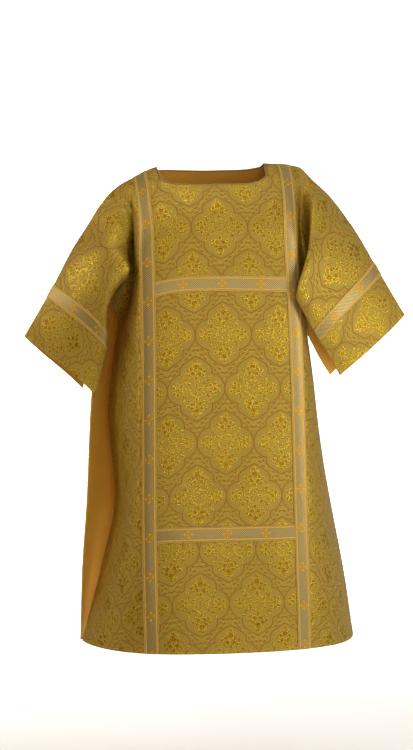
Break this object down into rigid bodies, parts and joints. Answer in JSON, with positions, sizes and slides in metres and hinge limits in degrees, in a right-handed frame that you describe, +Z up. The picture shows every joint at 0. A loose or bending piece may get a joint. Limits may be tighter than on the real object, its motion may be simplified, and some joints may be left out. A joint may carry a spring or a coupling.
{
  "type": "dalmatic",
  "caption": "Gold brocade dalmatic with wide half-sleeves, galloon bands and open sides, in its hollow worn form.",
  "frame": {"origin": "middle of the neck opening at shoulder height, where the wearer's shoulders hold the garment", "axes": "+X to the wearer's left, front towards -Y, +Z up"},
  "size_m": [0.874, 0.4518, 1.1185],
  "materials": {
    "brocade": "satin metallic brocade, gold figure on khaki-gold ground",
    "lining": "plain satin",
    "galloon": "woven metallic braid",
    "piping": "covered cord"
  },
  "bodies": {
    "root": {"front": "brocade", "back": "brocade", "front_lining": "lining", "back_lining": "lining", "front_band_right": "galloon", "front_band_left": "galloon", "back_band_right": "galloon", "back_band_left": "galloon", "front_chest_band": "galloon", "front_lower_band": "galloon", "back_chest_band": "galloon", "back_lower_band": "galloon", "sleeve_band_front_right": "galloon", "sleeve_band_front_left": "galloon", "sleeve_band_back_right": "galloon", "sleeve_band_back_left": "galloon", "neck_piping": "piping"}
  },
  "joints": []
}
